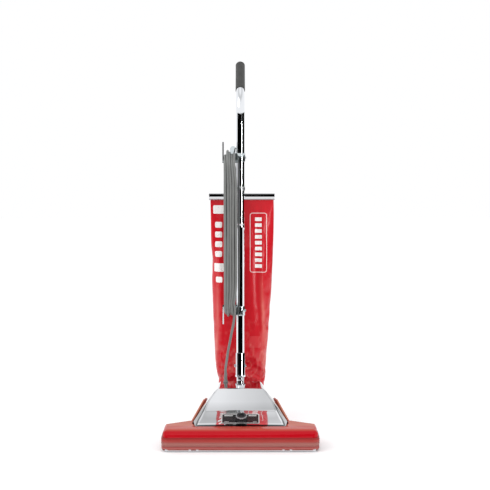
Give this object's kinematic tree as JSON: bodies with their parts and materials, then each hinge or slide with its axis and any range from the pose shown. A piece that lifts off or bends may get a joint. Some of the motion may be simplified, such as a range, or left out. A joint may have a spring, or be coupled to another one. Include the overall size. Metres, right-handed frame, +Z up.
{
  "type": "commercial upright vacuum cleaner",
  "caption": "Upright vacuum cleaner with a wide nozzle, polished motor hood, tube handle with cord hooks, and a red shake-out bag.",
  "frame": {"origin": "on the floor, under the middle of the machine's overall width and depth", "axes": "-Y points forward, the way the nozzle faces; +X is on the right seen from the front; +Z is up"},
  "size_m": [0.45, 0.4654, 1.1359],
  "materials": {
    "red_enamel": "gloss baked enamel on the aluminium nozzle casting",
    "red_rubber": "matte ribbed furniture bumper",
    "grey_rubber": "matte grey end pieces of the bumper",
    "bright_steel": "brushed and zinc plated steel",
    "mirror_chrome": "polished mirror chrome",
    "cast_metal": "as-cast aluminium with a fine grain",
    "label_black": "black printed foil plate with a thin pale border",
    "dark_plastic": "fine-grained moulded plastic",
    "red_plastic": "glossy moulded rocker",
    "grey_tread": "non-marking grey wheels, lightly scuffed",
    "belt_rubber": "round drive belt",
    "core_steel": "stacked laminations",
    "winding_copper": "copper bars",
    "carbon": "carbon blocks",
    "roll_body": "turned brush roll tube",
    "bristle": "nylon tufts",
    "grip_vinyl": "soft dark grey hand grip",
    "bag_cloth": "glossy coated red cloth with soft creases",
    "cord_vinyl": "grey vinyl cord jacket",
    "plug_brass": "bright plug blades"
  },
  "bodies": {
    "base": {"nozzle_housing": "red_enamel", "bumper": "red_rubber", "end_guards": "grey_rubber", "bottom_plate": "bright_steel", "suction_duct": "dark_plastic", "fan_case": "cast_metal", "motor_hood": "mirror_chrome", "screws": "bright_steel", "label_plate": "label_black", "motor_housing": "cast_metal", "motor_bracket": "bright_steel", "field_core": "core_steel", "motor_bearings": "bright_steel", "carbon_brushes": "carbon", "exhaust_duct": "cast_metal", "bag_ring": "bright_steel", "carriage_shaft": "bright_steel", "rear_axle": "bright_steel", "axle_caps": "bright_steel", "drive_belt": "belt_rubber", "brush_end_caps": "dark_plastic", "switch_box": "dark_plastic", "strain_relief": "cord_vinyl", "pivot_pins": "bright_steel", "pedal_spring": "bright_steel"},
    "handle": {"handle_fork": "cast_metal", "handle_socket": "mirror_chrome", "socket_bolt": "bright_steel", "lower_tube": "mirror_chrome", "upper_tube": "mirror_chrome", "grip": "grip_vinyl", "upper_hook": "mirror_chrome", "lower_hook": "mirror_chrome", "bag_hanger": "bright_steel", "bag": "bag_cloth", "cord_lead": "cord_vinyl", "cord_winding": "cord_vinyl", "cord_tail": "cord_vinyl", "plug_body": "cord_vinyl", "plug_blades": "plug_brass"},
    "clamp": {"bag_clamp": "bright_steel"},
    "pedal": {"release_pedal": "dark_plastic"},
    "rocker": {"switch_rocker": "red_plastic"},
    "knob": {"height_knob": "dark_plastic", "knob_screw": "bright_steel"},
    "carriage": {"wheel_carriage": "bright_steel", "front_axle": "bright_steel"},
    "front_left": {"front_wheel_left": "grey_tread"},
    "front_right": {"front_wheel_right": "grey_tread"},
    "rear_left": {"rear_wheel_left": "grey_tread"},
    "rear_right": {"rear_wheel_right": "grey_tread"},
    "left_catch": {"latch_left": "bright_steel"},
    "right_catch": {"latch_right": "bright_steel"},
    "rotor": {"motor_shaft": "bright_steel", "armature_core": "core_steel", "commutator": "winding_copper", "fan": "cast_metal", "belt_pulley": "bright_steel"},
    "brush": {"brush_roll": "roll_body", "brush_bristles": "bristle"}
  },
  "joints": [
    {"name": "handle_tilt", "type": "hinge", "parent": "base", "child": "handle", "pos_m": [0, 0.08932, 0.072], "axis": [-1, 0, 0], "range_deg": [0, 70], "deforming": ["bag", "cord_lead"]},
    {"name": "clamp_slide", "type": "slide", "parent": "handle", "child": "clamp", "axis": [0.9994, 0, -0.0349], "range_m": [0, 0.205]},
    {"name": "pedal_press", "type": "hinge", "parent": "base", "child": "pedal", "pos_m": [0, 0.08332, 0.05], "axis": [-1, 0, 0], "range_deg": [0, 12], "stiffness_Nm_per_rad": 2, "springref_deg": -5.73, "deforming": ["pedal_spring"]},
    {"name": "switch_rock", "type": "hinge", "parent": "base", "child": "rocker", "pos_m": [0, 0.05032, 0.105], "axis": [1, 0, 0], "range_deg": [0, 20]},
    {"name": "knob_turn", "type": "hinge", "parent": "base", "child": "knob", "pos_m": [0.0028, -0.13243, 0.07018], "axis": [0, -0.403, 0.9152], "range_deg": [0, 300]},
    {"name": "carriage_swing", "type": "hinge", "parent": "base", "child": "carriage", "pos_m": [0, -0.05868, 0.019], "axis": [1, 0, 0], "range_deg": [0, 10]},
    {"name": "front_left_spin", "type": "hinge", "parent": "carriage", "child": "front_left", "pos_m": [0, -0.11668, 0.014], "axis": [1, 0, 0], "continuous": true},
    {"name": "front_right_spin", "type": "hinge", "parent": "carriage", "child": "front_right", "pos_m": [0, -0.11668, 0.014], "axis": [1, 0, 0], "continuous": true},
    {"name": "rear_left_spin", "type": "hinge", "parent": "base", "child": "rear_left", "pos_m": [0, 0.10532, 0.032], "axis": [1, 0, 0], "continuous": true},
    {"name": "rear_right_spin", "type": "hinge", "parent": "base", "child": "rear_right", "pos_m": [0, 0.10532, 0.032], "axis": [1, 0, 0], "continuous": true},
    {"name": "left_catch_turn", "type": "hinge", "parent": "base", "child": "left_catch", "pos_m": [-0.16, -0.12668, 0.002], "axis": [0, 0, -1], "range_deg": [0, 90]},
    {"name": "right_catch_turn", "type": "hinge", "parent": "base", "child": "right_catch", "pos_m": [0.16, -0.12668, 0.002], "axis": [0, 0, 1], "range_deg": [0, 90]},
    {"name": "motor_spin", "type": "hinge", "parent": "base", "child": "rotor", "pos_m": [-0.035, 0, 0.052], "axis": [0, 1, 0], "continuous": true},
    {"name": "brush_spin", "type": "hinge", "parent": "base", "child": "brush", "pos_m": [0, -0.19068, 0.027], "axis": [1, 0, 0], "continuous": true}
  ],
  "couplings": [
    {"joint": "carriage_swing", "follows": "knob_turn", "ratio": 0.033333},
    {"joint": "brush_spin", "follows": "motor_spin", "ratio": -0.48387}
  ]
}
